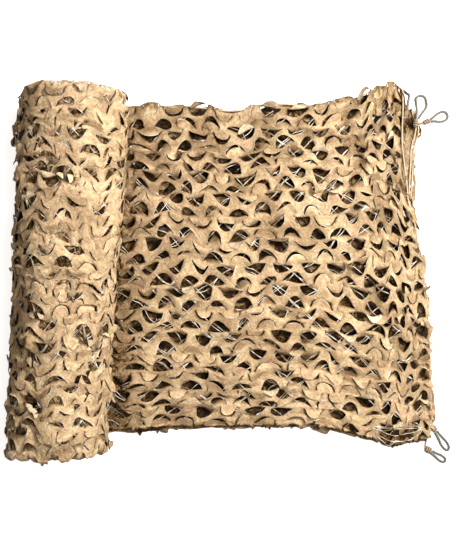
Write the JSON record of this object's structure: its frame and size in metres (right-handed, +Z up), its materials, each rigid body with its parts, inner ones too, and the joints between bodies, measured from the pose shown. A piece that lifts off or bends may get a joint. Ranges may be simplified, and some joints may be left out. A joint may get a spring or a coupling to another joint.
{
  "type": "rolled camouflage netting",
  "caption": "Roll of leaf-cut camouflage netting, its free end laid out as a folded run, edged with a cord and with knotted tie loops at the corners.",
  "frame": {"origin": "on the ground, at the bottom centre of the box around the net without its tie loops", "axes": "+X from the roll to the free end, +Y along the roll to its back end, +Z up"},
  "size_m": [1.2994, 1.1306, 0.2812],
  "materials": {
    "net_cloth": "matt coated woven cloth, sand tan above and cream beneath",
    "cord": "matt laid cord, grey tan"
  },
  "bodies": {
    "root": {"net_roll": "net_cloth", "net_run": "net_cloth", "rim_cord": "cord", "back_top_knot": "cord", "back_top_loop": "cord", "back_fold_knot": "cord", "back_fold_loop": "cord", "back_low_knot": "cord", "back_low_loop": "cord", "front_low_knot": "cord", "front_low_loop": "cord", "front_fold_knot": "cord", "front_fold_loop": "cord"}
  },
  "joints": []
}
